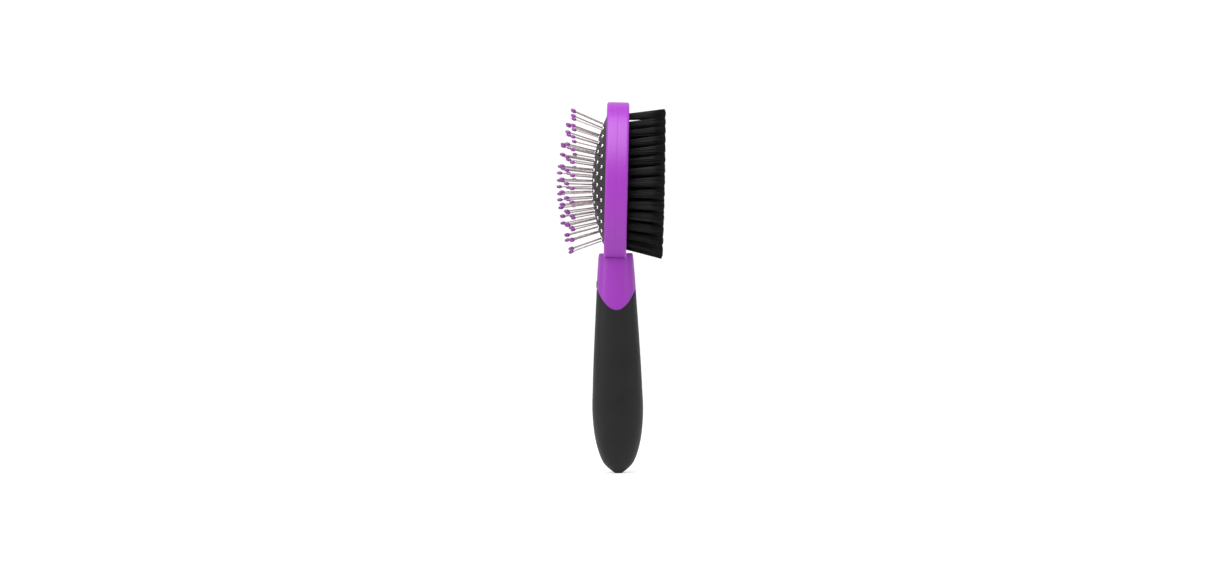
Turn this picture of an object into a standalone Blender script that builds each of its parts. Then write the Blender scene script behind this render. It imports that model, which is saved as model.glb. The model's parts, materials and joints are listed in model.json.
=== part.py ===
"""Two-sided pet brush: cushioned steel pins on one side, bristle tufts on the other.

Frame: metres, +Z along the handle towards the head, -X out of the pin side, +X out of the
bristle side. The origin is the middle of the small flat on the butt end of the handle.
Dimensions below are in millimetres. Head pieces are drawn in the head's own axes (u through
its thickness, v across it, w up it) and hang from one empty, which carries the head's lean.
"""
import math

import bmesh
import bpy
from mathutils import Vector

MM = 0.001
GAP = 0.3

# Handle: half thickness at each height, from the butt end to the top of the collar.
HANDLE_STATIONS = (
    (0.0, 2.3), (1.0, 3.6), (3.1, 6.2), (5.6, 8.7), (9.0, 10.6), (13.0, 12.1), (18.0, 13.5),
    (24.0, 14.6), (32.0, 15.5), (40.0, 15.8), (50.0, 15.5), (62.0, 15.0), (74.0, 14.5),
    (86.0, 13.8), (98.0, 13.1), (110.0, 12.4), (122.0, 11.75), (130.0, 11.15), (135.0, 10.7),
    (136.3, 9.95),
)
HANDLE_SIDES = 36
COLLAR_TOP = 136.3
GRIP_OVAL = 0.92
COLLAR_OVAL = 1.02
OVAL_FROM = 96.0
GRIP_EDGE_LOW = 101.1
GRIP_EDGE_RISE = 13.2
GRIP_STRAIGHT = 84.0
GRIP_THICK = 2.2
GRIP_FLOOR = 5.0
ROD_LEVELS = (11.0, 22.0, 40.0)
GRIP_EDGE_ROUND = 0.45

# Blank badge on the pin side of the collar.
BADGE_Z = 117.3
BADGE_WIDE = 8.0
BADGE_TALL = 4.3
BADGE_PROUD = 0.4
BADGE_DEEP = 0.6
BADGE_SIDES = 20

# Head frame.
HEAD_LEAN = math.radians(2.0)
LEAN_PIVOT_Z = 133.5
HEAD_RISE = 47.7
HEAD_OFFSET = -0.6
HEAD_HALF_THICK = 6.9
FRAME_HALF_WIDE = 32.0
FRAME_UP = 48.8
FRAME_DOWN = 52.3
FRAME_FOOT = -47.5
FRAME_SIDES = 44
FRAME_ROUND = ((4.6, 0.0), (5.7, 0.4), (6.45, 1.15), (6.9, 2.3))
SEAM_CHAMFER = 0.3
LIP_DEPTH = 2.3
LIP_CHAMFER = 0.4
TANG_WIDE = 14.0
TANG_THICK = 9.0
TANG_LENGTH = 20.0
TANG_SUNK = 1.5

# Openings and the pieces clamped in them: half sizes of the opening, and the flange beyond it.
PIN_OPENING = (25.0, 40.2)
PIN_FLANGE = 3.0
BRISTLE_OPENING = (24.6, 43.6)
BRISTLE_FLANGE = 1.9
PAD_SIDES = 36
DOME_HIGH = 8.2
RUBBER_THICK = 1.2
DOME_STEPS = (0.14, 0.32, 0.5, 0.68, 0.84, 0.952)
BASE_PLATE = (0.8, 2.8)
BRISTLE_PLATE_BACK = 2.2
BRISTLE_PLATE_FACE = 6.6

# Pins. Each ring: half width, half height, how round its top is (2 is an ellipse, less comes to
# a point), rise of its centre, count. The last is a zigzag.
PIN_RINGS = (
    (21.2, 36.4, 2.0, -0.9, 27),
    (16.0, 29.6, 2.0, -1.5, 21),
    (9.8, 20.4, 2.0, -2.1, 15),
    (2.8, 10.4, 2.0, -4.0, 7),
)
PIN_SPLAY = 1.085
PIN_TILT = 0.022
PIN_RADIUS = 0.375
PIN_LENGTH = 22.3
PIN_SIDES = 6
PIN_TIP_LENGTH = 3.2
PIN_TIP_RADIUS = 0.95
HOLE_EXTRA = 0.36
PIN_STRIP_HALF_WIDE = 0.8
PIN_STRIP_GAP = 0.6
TUFT_STRIP_HALF_WIDE = 1.9
STRIP_THICK = 0.8
STRIP_OVERRUN = 0.28

# Where each ring is cut into nodes, as shares of the way round it from its foot.
RING_CUTS = ((0.34, 0.67), (0.495,), (0.495,), ())
ARC_NAMES = {1: ("",), 2: ("_left", "_right"), 3: ("_left", "_top", "_right")}

# Bristle tufts.
TUFT_RINGS = (
    (20.2, 40.2, 1.15, -0.2, 28),
    (13.4, 31.4, 1.2, -1.2, 22),
    (6.9, 21.4, 1.4, -1.6, 14),
    (0.0, 10.2, 2.0, -3.0, 4),
)
TUFT_ROOT_RADIUS = 1.9
TUFT_NECK_RADIUS = 2.3
TUFT_TIP_RADIUS = 2.6
TUFT_END_RADIUS = 2.2
TUFT_END_ROUND = 0.6
TUFT_NECK_U = 10.0
TUFT_TIP_U = 29.2
TUFT_SIDES = 6
TUFT_STRIP_U = 1.2
FAN_ACROSS = 105.0
FAN_UP = (0.055, 0.0035, -0.00006)

PURPLE = (0.49, 0.085, 0.60)


# ---- scene helpers ---------------------------------------------------------------------------

def clear_scene():
    for item in list(bpy.data.objects):
        bpy.data.objects.remove(item, do_unlink=True)
    for item in list(bpy.data.collections):
        bpy.data.collections.remove(item)


def new_collection(name):
    made = bpy.data.collections.new(name)
    bpy.context.scene.collection.children.link(made)
    return made


def material(name, colour, roughness, metallic=0.0):
    made = bpy.data.materials.new(name)
    made.use_nodes = True
    shader = made.node_tree.nodes["Principled BSDF"]
    shader.inputs["Base Color"].default_value = (*colour, 1.0)
    shader.inputs["Roughness"].default_value = roughness
    shader.inputs["Metallic"].default_value = metallic
    made.diffuse_color = (*colour, 1.0)
    return made


def finish_mesh(bm, name, smooth_below):
    bmesh.ops.scale(bm, vec=(MM, MM, MM), verts=bm.verts)
    bmesh.ops.recalc_face_normals(bm, faces=bm.faces)
    mesh = bpy.data.meshes.new(name)
    bm.to_mesh(mesh)
    bm.free()
    mesh.shade_smooth()
    mesh.set_sharp_from_angle(angle=math.radians(smooth_below))
    return bpy.data.objects.new(name, mesh)


def skin(bm, rings, start=None, end=None, closed=False):
    """Join equal rings of points with quads; each open end gets a fan to a point or a flat cap."""
    rows = [[bm.verts.new(point) for point in ring] for ring in rings]
    count = len(rows[0])
    pairs = list(zip(rows, rows[1:]))
    if closed:
        pairs.append((rows[-1], rows[0]))
    for low, high in pairs:
        for i in range(count):
            j = (i + 1) % count
            bm.faces.new((low[i], low[j], high[j], high[i]))
    if not closed:
        cap(bm, rows[0], start)
        cap(bm, rows[-1], end)


def cap(bm, row, middle):
    if middle is None:
        bm.faces.new(row)
        return
    hub = bm.verts.new(middle)
    for i, vert in enumerate(row):
        bm.faces.new((vert, row[(i + 1) % len(row)], hub))


def loft(name, rings, start=None, end=None, closed=False, smooth_below=40.0):
    bm = bmesh.new()
    skin(bm, rings, start, end, closed)
    return finish_mesh(bm, name, smooth_below)


def box(name, low, high):
    bm = bmesh.new()
    bmesh.ops.create_cube(bm, size=1.0)
    for vert in bm.verts:
        vert.co = Vector([low[k] + (vert.co[k] + 0.5) * (high[k] - low[k]) for k in range(3)])
    return finish_mesh(bm, name, 30.0)


def boolean(target, operand, operation):
    step = target.modifiers.new(f"{operation.lower()}_{operand.name}", "BOOLEAN")
    step.operation = operation
    step.solver = "EXACT"
    step.object = operand


class Bench:
    """Places finished objects and hidden operands in their collections."""

    def __init__(self):
        self.parts = new_collection("pin_and_bristle_brush")
        self.operands = new_collection("cutters")
        self.head = bpy.data.objects.new("head_datum", None)
        self.head.empty_display_size = 0.01
        self.head.location = (
            (HEAD_OFFSET + HEAD_RISE * math.sin(HEAD_LEAN)) * MM,
            0.0,
            (LEAN_PIVOT_Z + HEAD_RISE * math.cos(HEAD_LEAN)) * MM,
        )
        self.head.rotation_euler = (0.0, HEAD_LEAN, 0.0)
        self.parts.objects.link(self.head)

    def part(self, item, slot, on_head=False):
        item.data.materials.append(slot)
        self.parts.objects.link(item)
        if on_head:
            item.parent = self.head
        return item

    def operand(self, item, on_head=False):
        item.hide_render = True
        item.display_type = "WIRE"
        self.operands.objects.link(item)
        if on_head:
            item.parent = self.head
        return item


# ---- handle ----------------------------------------------------------------------------------

def station_slope(index):
    before = HANDLE_STATIONS[max(index - 1, 0)]
    after = HANDLE_STATIONS[min(index + 1, len(HANDLE_STATIONS) - 1)]
    return (after[1] - before[1]) / (after[0] - before[0])


def handle_half_thick(z):
    """Smooth curve through the handle stations."""
    z = min(max(z, 0.0), COLLAR_TOP)
    last = len(HANDLE_STATIONS) - 2
    index = min(sum(1 for station in HANDLE_STATIONS[1:] if station[0] < z), last)
    (z0, r0), (z1, r1) = HANDLE_STATIONS[index], HANDLE_STATIONS[index + 1]
    span = z1 - z0
    t = (z - z0) / span
    rise = t * t * (3.0 - 2.0 * t)
    lead = t * (1.0 - t) * (1.0 - t) * span * station_slope(index)
    trail = t * t * (1.0 - t) * span * station_slope(index + 1)
    return r0 + (r1 - r0) * rise + lead - trail


def handle_oval(z):
    t = min(max((z - OVAL_FROM) / (COLLAR_TOP - OVAL_FROM), 0.0), 1.0)
    return GRIP_OVAL + (COLLAR_OVAL - GRIP_OVAL) * t * t * (3.0 - 2.0 * t)


def grip_edge(angle):
    return GRIP_EDGE_LOW + GRIP_EDGE_RISE * math.cos(angle) ** 2


def handle_ring(height_at, inset):
    """One ring round the handle; height_at gives the height at each angle."""
    ring = []
    for i in range(HANDLE_SIDES):
        angle = math.tau * i / HANDLE_SIDES
        z = height_at(angle)
        thick = handle_half_thick(z)
        x = (thick - inset) * math.cos(angle)
        y = (thick * handle_oval(z) - inset) * math.sin(angle)
        ring.append((x, y, z))
    return ring


def level(z):
    return lambda angle: z


def below_edge(part, lift=0.0):
    return lambda angle: GRIP_STRAIGHT + (grip_edge(angle) - GRIP_STRAIGHT) * part + lift


def above_edge(part):
    return lambda angle: grip_edge(angle) + GAP + (COLLAR_TOP - grip_edge(angle) - GAP) * part


def make_grip_sleeve(bench, slot):
    outside = [level(z) for z in (0.0, 0.9, 2.6, 5.2, 9.0, 14.0, 20.0, 28.0, 38.0, 54.0)]
    rings = [handle_ring(height, 0.0) for height in outside]
    rings += [handle_ring(below_edge(part), 0.0) for part in (0.0, 0.5)]
    rings.append(handle_ring(below_edge(1.0, -GRIP_EDGE_ROUND), 0.0))
    rings.append(handle_ring(below_edge(1.0), GRIP_EDGE_ROUND))
    rings += [handle_ring(below_edge(part), GRIP_THICK) for part in (1.0, 0.5, 0.0)]
    inside = reversed((GRIP_FLOOR, *ROD_LEVELS))
    rings += [handle_ring(level(z), GRIP_THICK) for z in inside]
    return bench.part(loft("grip_sleeve", rings), slot)


def make_handle_core(bench, slot):
    rod = GRIP_THICK + GAP
    floor = GRIP_FLOOR + GAP
    rings = [handle_ring(level(z), rod) for z in (floor, *ROD_LEVELS)]
    rings += [handle_ring(below_edge(part), rod) for part in (0.0, 0.5)]
    rings.append(handle_ring(above_edge(0.0), rod))
    rings.append(handle_ring(above_edge(0.0), GAP))
    rings.append(handle_ring(above_edge(0.018), 0.0))
    rings += [handle_ring(above_edge(part), 0.0) for part in (0.25, 0.5, 0.75)]
    rings += [handle_ring(level(z), 0.0) for z in (133.6, 135.2, COLLAR_TOP)]
    core = bench.part(loft("handle_core", rings), slot)
    cut_head_seat(bench, core)
    boolean(core, bench.operand(badge_body("cut_badge_pocket", GAP)), "DIFFERENCE")
    return core


def cut_head_seat(bench, core):
    """Notch that straddles the foot of the frame, and the socket for its tang."""
    half = HEAD_HALF_THICK + GAP
    floor = FRAME_FOOT - GAP
    notch = box("cut_head_notch", (-half, -20.0, floor), (half, 20.0, floor + 12.0))
    boolean(core, bench.operand(notch, on_head=True), "DIFFERENCE")
    thick = TANG_THICK / 2.0 + GAP
    wide = TANG_WIDE / 2.0 + GAP
    bottom = FRAME_FOOT - TANG_LENGTH - GAP
    socket = box("cut_tang_socket", (-thick, -wide, bottom), (thick, wide, floor + 5.0))
    boolean(core, bench.operand(socket, on_head=True), "DIFFERENCE")


def badge_ring(grow, lift):
    """Oval on the collar's pin-side face, lifted off it by lift."""
    ring = []
    for i in range(BADGE_SIDES):
        angle = math.tau * i / BADGE_SIDES
        y = (BADGE_WIDE / 2.0 + grow) * math.cos(angle)
        z = BADGE_Z + (BADGE_TALL / 2.0 + grow) * math.sin(angle)
        ring.append(badge_point(y, z, lift))
    return ring


def badge_point(y, z, lift):
    thick = handle_half_thick(z)
    wide = thick * handle_oval(z)
    return (-thick * math.sqrt(1.0 - (y / wide) ** 2) - lift, y, z)


def badge_body(name, grow):
    """The badge, or with grow above zero the pocket that leaves room round it."""
    bottom = -BADGE_DEEP - grow
    top = BADGE_PROUD + 4.0 * grow
    rings = [
        badge_ring(grow, bottom),
        badge_ring(grow, top - 0.22),
        badge_ring(grow - 0.35, top - 0.04),
        badge_ring(grow - 1.0, top),
    ]
    start = badge_point(0.0, BADGE_Z, bottom)
    end = badge_point(0.0, BADGE_Z, top)
    return loft(name, rings, start, end)


# ---- head frame ------------------------------------------------------------------------------

def turn(index, sides):
    return math.tau * index / sides


def frame_ring(u, inset):
    ring = []
    for i in range(FRAME_SIDES):
        angle = turn(i, FRAME_SIDES)
        rise = FRAME_UP if math.cos(angle) > 0.0 else FRAME_DOWN
        w = max((rise - inset) * math.cos(angle), FRAME_FOOT)
        ring.append((u, (FRAME_HALF_WIDE - inset) * math.sin(angle), w))
    return ring


def opening_ring(opening, u, grow, sides):
    wide, tall = opening[0] + grow, opening[1] + grow
    return [
        (u, wide * math.sin(turn(i, sides)), tall * math.cos(turn(i, sides)))
        for i in range(sides)
    ]


def make_frame_half(bench, name, side, slot):
    """side is -1 for the pin half and +1 for the bristle half."""
    seam = GAP / 2.0
    face = HEAD_HALF_THICK
    ledge = face - LIP_DEPTH
    opening = PIN_OPENING if side < 0.0 else BRISTLE_OPENING
    flange = PIN_FLANGE if side < 0.0 else BRISTLE_FLANGE
    rings = [frame_ring(side * seam, SEAM_CHAMFER), frame_ring(side * (seam + SEAM_CHAMFER), 0.0)]
    rings += [frame_ring(side * u, inset) for u, inset in FRAME_ROUND]
    rings.append(opening_ring(opening, side * face, GAP + LIP_CHAMFER, FRAME_SIDES))
    rings.append(opening_ring(opening, side * (face - LIP_CHAMFER), GAP, FRAME_SIDES))
    rings.append(opening_ring(opening, side * ledge, GAP, FRAME_SIDES))
    rings.append(opening_ring(opening, side * ledge, flange + GAP, FRAME_SIDES))
    rings.append(opening_ring(opening, side * seam, flange + GAP, FRAME_SIDES))
    half = bench.part(loft(name, rings, closed=True), slot, on_head=True)
    near, far = sorted((side * seam, side * TANG_THICK / 2.0))
    low = (near, -TANG_WIDE / 2.0, FRAME_FOOT - TANG_LENGTH)
    high = (far, TANG_WIDE / 2.0, FRAME_FOOT + TANG_SUNK)
    boolean(half, bench.operand(box(f"add_tang_{name}", low, high), on_head=True), "UNION")
    return half


# ---- rings of pins and tufts -----------------------------------------------------------------

def ring_walk(wide, tall, point, fraction, steps=720):
    """Point a fraction of the way round a ring by length, from its foot towards -v."""
    fraction %= 1.0
    spots = []
    for i in range(steps + 1):
        across, up = -math.sin(turn(i, steps)), -math.cos(turn(i, steps))
        if up > 0.0:
            across = math.copysign(max(0.0, 1.0 - up ** point) ** (1.0 / point), across)
        spots.append((wide * across, tall * up))
    spans = [math.dist(a, b) for a, b in zip(spots, spots[1:])]
    left = fraction * sum(spans)
    for span, start, stop in zip(spans, spots, spots[1:]):
        if left <= span:
            t = left / span
            return (start[0] + (stop[0] - start[0]) * t, start[1] + (stop[1] - start[1]) * t)
        left -= span
    return spots[-1]


def ring_spot(ring, mark):
    """Spot of one pin or tuft, or of a point between two of them when mark isn't whole."""
    wide, tall, point, rise, count = ring
    if is_zigzag(ring):
        side = wide if int(mark) % 2 == 0 else -wide
        return side, rise - tall + 2.0 * tall * mark / (count - 1)
    v, w = ring_walk(wide, tall, point, mark / count)
    return v, w + rise


def is_zigzag(ring):
    return ring[0] < 3.0


def dome_share(v, w):
    return math.hypot(v / PIN_OPENING[0], w / PIN_OPENING[1])


def dome_u(share):
    return -HEAD_HALF_THICK - DOME_HIGH * (1.0 - share * share)


def pin_axis(spot):
    """Root on the dome and unit direction, nearly square to it."""
    v, w = spot
    lean_v = PIN_SPLAY * 2.0 * DOME_HIGH * v / PIN_OPENING[0] ** 2
    lean_w = PIN_SPLAY * 2.0 * DOME_HIGH * w / PIN_OPENING[1] ** 2 + PIN_TILT
    root = Vector((dome_u(dome_share(v, w)), v, w))
    return root, Vector((-1.0, lean_v, lean_w)).normalized()


def tuft_lean(spot):
    level, slope, bend = FAN_UP
    return spot[0] / FAN_ACROSS, level + slope * spot[1] + bend * spot[1] ** 2


def tuft_centre(spot, u):
    lean = tuft_lean(spot)
    reach = u - BRISTLE_PLATE_FACE
    return (u, spot[0] + lean[0] * reach, spot[1] + lean[1] * reach)


def pin_foot(spot):
    """Where the pin's middle line meets its strip, behind the rubber."""
    root, way = pin_axis(spot)
    behind = RUBBER_THICK + PIN_STRIP_GAP + STRIP_THICK / 2.0
    return root - way * (behind / -way.x)


def tuft_foot(spot):
    return Vector(tuft_centre(spot, TUFT_STRIP_U))


def round_section(centre, way, radius, sides):
    basis = way.to_track_quat("X", "Y")
    ring = []
    for i in range(sides):
        angle = turn(i, sides)
        offset = Vector((0.0, radius * math.cos(angle), radius * math.sin(angle)))
        ring.append(centre + basis @ offset)
    return ring


def add_pin(bm, spot):
    root, way = pin_axis(spot)
    neck = PIN_LENGTH - PIN_TIP_LENGTH
    sections = [
        (pin_foot(spot), PIN_RADIUS),
        (root + way * neck, PIN_RADIUS),
        (root + way * (neck + 0.9), PIN_TIP_RADIUS),
        (root + way * (PIN_LENGTH - 0.7), PIN_TIP_RADIUS),
        (root + way * PIN_LENGTH, PIN_TIP_RADIUS * 0.45),
    ]
    skin(bm, [round_section(at, way, radius, PIN_SIDES) for at, radius in sections])


def add_pin_hole(bm, spot):
    root, way = pin_axis(spot)
    radius = PIN_RADIUS + HOLE_EXTRA
    ends = (root - way * 2.6, root + way * 1.6)
    skin(bm, [round_section(at, way, radius, PIN_SIDES) for at in ends])


def tuft_section(spot, u, radius):
    _, v, w = tuft_centre(spot, u)
    ring = []
    for i in range(TUFT_SIDES):
        angle = turn(i + 0.5, TUFT_SIDES)
        ring.append((u, v + radius * math.cos(angle), w + radius * math.sin(angle)))
    return ring


def add_tuft(bm, spot):
    sections = (
        (TUFT_STRIP_U, TUFT_ROOT_RADIUS),
        (BRISTLE_PLATE_FACE, TUFT_ROOT_RADIUS),
        (TUFT_NECK_U, TUFT_NECK_RADIUS),
        (TUFT_TIP_U - TUFT_END_ROUND, TUFT_TIP_RADIUS),
        (TUFT_TIP_U, TUFT_END_RADIUS),
    )
    skin(bm, [tuft_section(spot, u, radius) for u, radius in sections])


def add_tuft_hole(bm, spot):
    radius = TUFT_ROOT_RADIUS + HOLE_EXTRA
    ends = (BRISTLE_PLATE_BACK - 0.4, BRISTLE_PLATE_FACE + 0.1)
    skin(bm, [tuft_section(spot, u, radius) for u in ends])


def band(name, path, half_wide, closed):
    """Strip of even width along a path of (u, v, w) points."""
    count = len(path)
    rows = []
    for i, here in enumerate(path):
        before = path[i - 1] if closed or i > 0 else here
        after = path[(i + 1) % count] if closed or i < count - 1 else here
        along = Vector((after[1] - before[1], after[2] - before[2])).normalized()
        side = Vector((-along.y, along.x)) * half_wide
        near, far = here[0] - STRIP_THICK / 2.0, here[0] + STRIP_THICK / 2.0
        rows.append([
            (near, here[1] - side.x, here[2] - side.y),
            (near, here[1] + side.x, here[2] + side.y),
            (far, here[1] + side.x, here[2] + side.y),
            (far, here[1] - side.x, here[2] - side.y),
        ])
    return loft(name, rows, closed=closed)


def split_ring(count, cuts):
    """Name ending and marks of the pins or tufts of each of a ring's nodes."""
    edges = (0.0, *cuts, 1.0)
    for ending, low, high in zip(ARC_NAMES[len(cuts) + 1], edges, edges[1:]):
        yield ending, [k for k in range(count) if low <= k / count < high]


def strip_path(ring, marks, foot_at):
    if is_zigzag(ring):
        tall, rise = ring[1], ring[3]
        overrun = tall + 1.2
        heights = [rise - overrun + 2.0 * overrun * k / 6.0 for k in range(7)]
        return [foot_at((0.0, w)) for w in heights]
    low, high = marks[0] - STRIP_OVERRUN, marks[-1] + STRIP_OVERRUN
    steps = len(marks) + 3
    return [foot_at(ring_spot(ring, low + (high - low) * k / steps)) for k in range(steps + 1)]


def make_rings(bench, stem, rings, add_one, foot_at, half_wide, slot):
    """One node for each arc of each ring."""
    for number, (ring, cuts) in enumerate(zip(rings, RING_CUTS), start=1):
        wide = half_wide + (ring[0] if is_zigzag(ring) else 0.0)
        for ending, marks in split_ring(ring[4], cuts):
            name = f"{stem}_ring_{number}{ending}"
            flat = band(name, strip_path(ring, marks, foot_at), wide, False)
            strip = bench.part(flat, slot, on_head=True)
            bm = bmesh.new()
            for mark in marks:
                add_one(bm, ring_spot(ring, mark))
            operand = finish_mesh(bm, f"add_{name}", 40.0)
            boolean(strip, bench.operand(operand, on_head=True), "UNION")


def hole_cutter(bench, name, rings, add_one):
    bm = bmesh.new()
    for ring in rings:
        for mark in range(ring[4]):
            add_one(bm, ring_spot(ring, mark))
    return bench.operand(finish_mesh(bm, name, 40.0), on_head=True)


def make_pins(bench, slot):
    make_rings(bench, "pin", PIN_RINGS, add_pin, pin_foot, PIN_STRIP_HALF_WIDE, slot)


def make_tufts(bench, slot):
    make_rings(bench, "tuft", TUFT_RINGS, add_tuft, tuft_foot, TUFT_STRIP_HALF_WIDE, slot)


# ---- pieces clamped in the frame -------------------------------------------------------------

def dome_ring(share, lift):
    wide, tall = PIN_OPENING[0] * share, PIN_OPENING[1] * share
    u = dome_u(share) + lift
    return [
        (u, wide * math.sin(turn(i, PAD_SIDES)), tall * math.cos(turn(i, PAD_SIDES)))
        for i in range(PAD_SIDES)
    ]


def make_membrane(bench, slot):
    top = -(HEAD_HALF_THICK - LIP_DEPTH - GAP)
    back = top + RUBBER_THICK
    rings = [dome_ring(share, RUBBER_THICK) for share in DOME_STEPS]
    opening = PIN_OPENING
    rings.append(opening_ring(opening, back, -RUBBER_THICK, PAD_SIDES))
    rings.append(opening_ring(opening, back, PIN_FLANGE, PAD_SIDES))
    rings.append(opening_ring(opening, top, PIN_FLANGE, PAD_SIDES))
    rings.append(opening_ring(opening, top, 0.0, PAD_SIDES))
    rings.append(opening_ring(opening, -HEAD_HALF_THICK, 0.0, PAD_SIDES))
    rings += [dome_ring(share, 0.0) for share in reversed(DOME_STEPS)]
    start = (dome_u(0.0) + RUBBER_THICK, 0.0, 0.0)
    end = (dome_u(0.0), 0.0, 0.0)
    membrane = bench.part(loft("cushion_membrane", rings, start, end), slot, on_head=True)
    holes = hole_cutter(bench, "cut_pin_holes", PIN_RINGS, add_pin_hole)
    boolean(membrane, holes, "DIFFERENCE")


def make_base_plate(bench, slot):
    rings = [opening_ring(PIN_OPENING, -u, PIN_FLANGE, PAD_SIDES) for u in BASE_PLATE]
    bench.part(loft("cushion_base_plate", rings), slot, on_head=True)


def make_bristle_plate(bench, slot):
    ledge = HEAD_HALF_THICK - LIP_DEPTH - GAP
    opening = BRISTLE_OPENING
    rings = [
        opening_ring(opening, BRISTLE_PLATE_BACK, BRISTLE_FLANGE, PAD_SIDES),
        opening_ring(opening, ledge, BRISTLE_FLANGE, PAD_SIDES),
        opening_ring(opening, ledge, 0.0, PAD_SIDES),
        opening_ring(opening, BRISTLE_PLATE_FACE, 0.0, PAD_SIDES),
    ]
    plate = bench.part(loft("bristle_plate", rings), slot, on_head=True)
    holes = hole_cutter(bench, "cut_tuft_holes", TUFT_RINGS, add_tuft_hole)
    boolean(plate, holes, "DIFFERENCE")


# ---- assembly --------------------------------------------------------------------------------

def main():
    clear_scene()
    bpy.context.scene.unit_settings.system = "METRIC"
    bench = Bench()
    frame = material("frame_plastic", PURPLE, 0.38)
    handle = material("handle_plastic", PURPLE, 0.40)
    grip = material("grip_rubber", (0.028, 0.028, 0.030), 0.62)
    badge = material("badge_plastic", (0.05, 0.05, 0.055), 0.45)
    pad = material("cushion_rubber", (0.03, 0.03, 0.033), 0.70)
    plate = material("base_plastic", (0.06, 0.06, 0.065), 0.50)
    board = material("bristle_board", PURPLE, 0.42)
    steel = material("pin_steel", (0.72, 0.72, 0.74), 0.22, 1.0)
    nylon = material("bristle_nylon", (0.012, 0.012, 0.014), 0.45)

    make_handle_core(bench, handle)
    make_grip_sleeve(bench, grip)
    bench.part(badge_body("collar_badge", 0.0), badge)
    make_frame_half(bench, "head_frame_front", -1.0, frame)
    make_frame_half(bench, "head_frame_rear", 1.0, frame)
    make_membrane(bench, pad)
    make_base_plate(bench, plate)
    make_pins(bench, steel)
    make_bristle_plate(bench, board)
    make_tufts(bench, nylon)


main()
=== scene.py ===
"""Looks of the double-sided pet brush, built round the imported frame.

Everything on the head is drawn in the head's own axes, in millimetres: u through its thickness
(pins towards -u, bristles towards +u), v across it and w up it. The handle is drawn in the
row frame. Sizes that the frame holds are measured from it.
"""

import json
import math
import random

import bpy
import numpy as np
from mathutils import Matrix, Vector


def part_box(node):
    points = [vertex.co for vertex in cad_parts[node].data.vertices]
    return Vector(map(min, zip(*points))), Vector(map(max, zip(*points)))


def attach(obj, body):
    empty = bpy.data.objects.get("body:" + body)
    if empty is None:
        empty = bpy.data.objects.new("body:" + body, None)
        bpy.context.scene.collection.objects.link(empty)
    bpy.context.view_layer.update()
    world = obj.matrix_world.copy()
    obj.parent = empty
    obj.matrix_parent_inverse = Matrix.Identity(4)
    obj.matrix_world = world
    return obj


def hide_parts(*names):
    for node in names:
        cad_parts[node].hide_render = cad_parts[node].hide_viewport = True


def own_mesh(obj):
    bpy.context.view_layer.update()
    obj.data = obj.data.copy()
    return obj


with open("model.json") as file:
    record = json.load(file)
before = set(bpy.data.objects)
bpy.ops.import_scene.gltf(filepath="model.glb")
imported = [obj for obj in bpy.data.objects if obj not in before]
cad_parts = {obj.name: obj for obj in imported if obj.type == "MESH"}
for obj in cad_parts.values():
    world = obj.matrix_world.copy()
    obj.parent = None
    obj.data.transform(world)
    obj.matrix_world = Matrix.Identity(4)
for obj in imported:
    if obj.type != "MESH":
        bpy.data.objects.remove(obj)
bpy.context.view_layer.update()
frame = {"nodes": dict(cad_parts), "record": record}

MM = 0.001
SEED = 11

# ---- measured from the frame -----------------------------------------------------------------


def points_of(node):
    mesh = frame["nodes"][node].data
    flat = np.zeros(len(mesh.vertices) * 3, np.float32)
    mesh.vertices.foreach_get("co", flat)
    return flat.reshape(-1, 3).astype(float) / MM


def span(node, axis):
    along = points_of(node) @ np.array(axis)
    return along.min(), along.max()


def half_of(spread):
    return (spread[1] - spread[0]) / 2.0


ACROSS_AXIS = (0.0, 1.0, 0.0)
PRESS_AXIS = Vector(frame["record"]["behaviour"]["joints"][0]["axis"]).normalized()
UP_AXIS = PRESS_AXIS.cross(Vector(ACROSS_AXIS)).normalized()
PIN_FACE, _ = span("head_frame_front", PRESS_AXIS)
_, BRISTLE_FACE = span("head_frame_rear", PRESS_AXIS)
HALF_THICK = (BRISTLE_FACE - PIN_FACE) / 2.0
PLATE_W = span("cushion_base_plate", UP_AXIS)
PLATE_V = span("cushion_base_plate", ACROSS_AXIS)
CENTRE = PRESS_AXIS * (PIN_FACE + HALF_THICK) + UP_AXIS * (sum(PLATE_W) / 2.0)
HEAD = Matrix.Scale(MM, 4) @ Matrix((
    (PRESS_AXIS.x, 0.0, UP_AXIS.x, CENTRE.x),
    (PRESS_AXIS.y, 1.0, UP_AXIS.y, CENTRE.y),
    (PRESS_AXIS.z, 0.0, UP_AXIS.z, CENTRE.z),
    (0.0, 0.0, 0.0, 1.0),
))
ROW = Matrix.Scale(MM, 4)
CENTRE_U = CENTRE.dot(PRESS_AXIS)
CENTRE_W = CENTRE.dot(UP_AXIS)

# Head frame. A flange runs from each opening out to the edge of the plate it holds.
PIN_FLANGE = 3.0
PIN_OPENING = (half_of(PLATE_V) - PIN_FLANGE, half_of(PLATE_W) - PIN_FLANGE)
BOARD_V = span("bristle_plate", ACROSS_AXIS)
BOARD_W = span("bristle_plate", UP_AXIS)
BRISTLE_FLANGE = 1.9
BRISTLE_OPENING = (half_of(BOARD_V) - BRISTLE_FLANGE, half_of(BOARD_W) - BRISTLE_FLANGE)
FRAME_WIDE = span("head_frame_front", ACROSS_AXIS)[1]
FRAME_UP = span("head_frame_front", UP_AXIS)[1] - CENTRE_W
FRAME_DOWN = 52.3
FRAME_FOOT = -47.5
FRAME_EDGE = 1.5
LIP_ROUND = 0.5
LIP_DEPTH = 2.3
LIP_GAP = 0.3
SEAM = -0.02
SEAM_ROUND = 0.12
NOTCH_GAP = 0.12
NOTCH_MOUTH = 0.1

# Cushion and pins.
DOME_HIGH = PIN_FACE - span("cushion_membrane", PRESS_AXIS)[0]
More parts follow.
